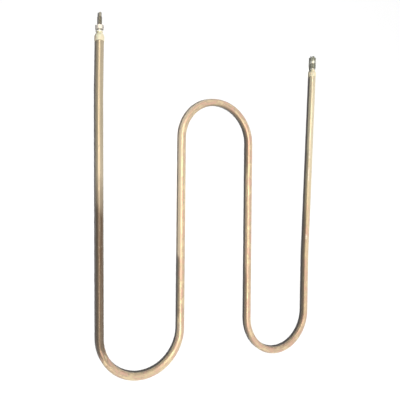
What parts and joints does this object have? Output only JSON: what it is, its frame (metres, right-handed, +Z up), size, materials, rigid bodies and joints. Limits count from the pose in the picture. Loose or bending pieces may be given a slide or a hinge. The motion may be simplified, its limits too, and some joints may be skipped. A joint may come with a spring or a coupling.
{
  "type": "tubular heating element",
  "caption": "Flat W-shaped tubular electric heating element with ceramic beads and threaded stud terminals at both ends.",
  "frame": {"origin": "on the surface the element lies on, under the middle of its outline", "axes": "+Y along the legs towards the terminals, +X across the legs from the left terminal to the right one, +Z up from the surface"},
  "size_m": [0.3114, 0.4046, 0.0094],
  "materials": {
    "sheath": "heat-tinted stainless, straw to brown",
    "magnesia": "compacted powder",
    "resistance_wire": "bright drawn wire",
    "stud": "dull rolled thread",
    "seal": "cured sealant",
    "ceramic": "unglazed steatite, cream",
    "nut": "dull zinc",
    "spring_washer": "dark spring steel",
    "washer": "bright zinc"
  },
  "bodies": {
    "root": {"base_nut_left": "nut", "base_nut_right": "nut", "base_spring_washer_left": "spring_washer", "base_spring_washer_right": "spring_washer", "base_washer_left": "washer", "base_washer_right": "washer", "ceramic_bead_left": "ceramic", "ceramic_bead_right": "ceramic", "end_seal_left": "seal", "end_seal_right": "seal", "lug_washer_lower_right": "washer", "lug_washer_upper_right": "washer", "magnesia_fill": "magnesia", "outer_nut_right": "nut", "outer_spring_washer_right": "spring_washer", "resistance_coil": "resistance_wire", "sheath": "sheath", "terminal_pin_left": "stud", "terminal_pin_right": "stud"}
  },
  "joints": []
}
